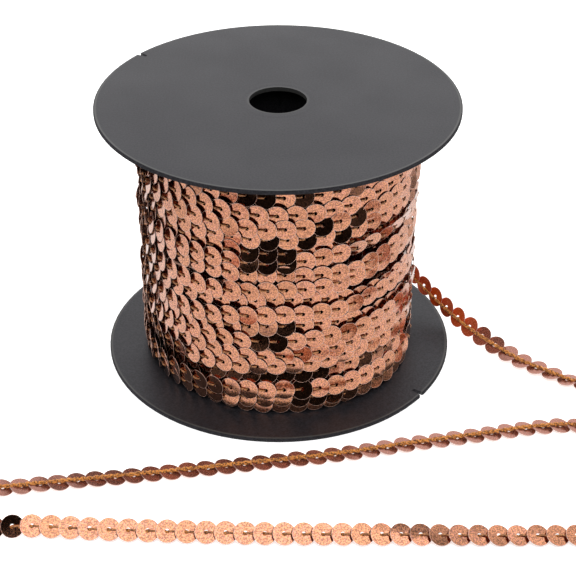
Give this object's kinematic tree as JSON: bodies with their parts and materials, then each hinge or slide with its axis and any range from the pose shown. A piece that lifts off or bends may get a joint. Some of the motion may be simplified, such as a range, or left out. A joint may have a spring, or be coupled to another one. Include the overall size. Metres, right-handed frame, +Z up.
{
  "type": "sequin trim wound on a plastic spool",
  "caption": "Sewn sequin trim wound in close rows on a two-flange plastic spool, its loose end laid out in two long runs in front.",
  "frame": {"origin": "centre of the lower flange's underside, on the surface the reel stands on", "axes": "+Z up along the spool's axis, +X to the right and +Y away from the viewer of the picture"},
  "size_m": [0.2092, 0.1426, 0.0786],
  "materials": {
    "black_plastic": "fine-grained moulded black",
    "sequins": "metallised copper film with a fine grain",
    "sewing_thread": "twisted golden brown thread"
  },
  "bodies": {
    "root": {"flange_bottom": "black_plastic", "flange_top": "black_plastic", "core_tube": "black_plastic", "winding": "sequins", "trim_tail": "sequins"}
  },
  "joints": []
}
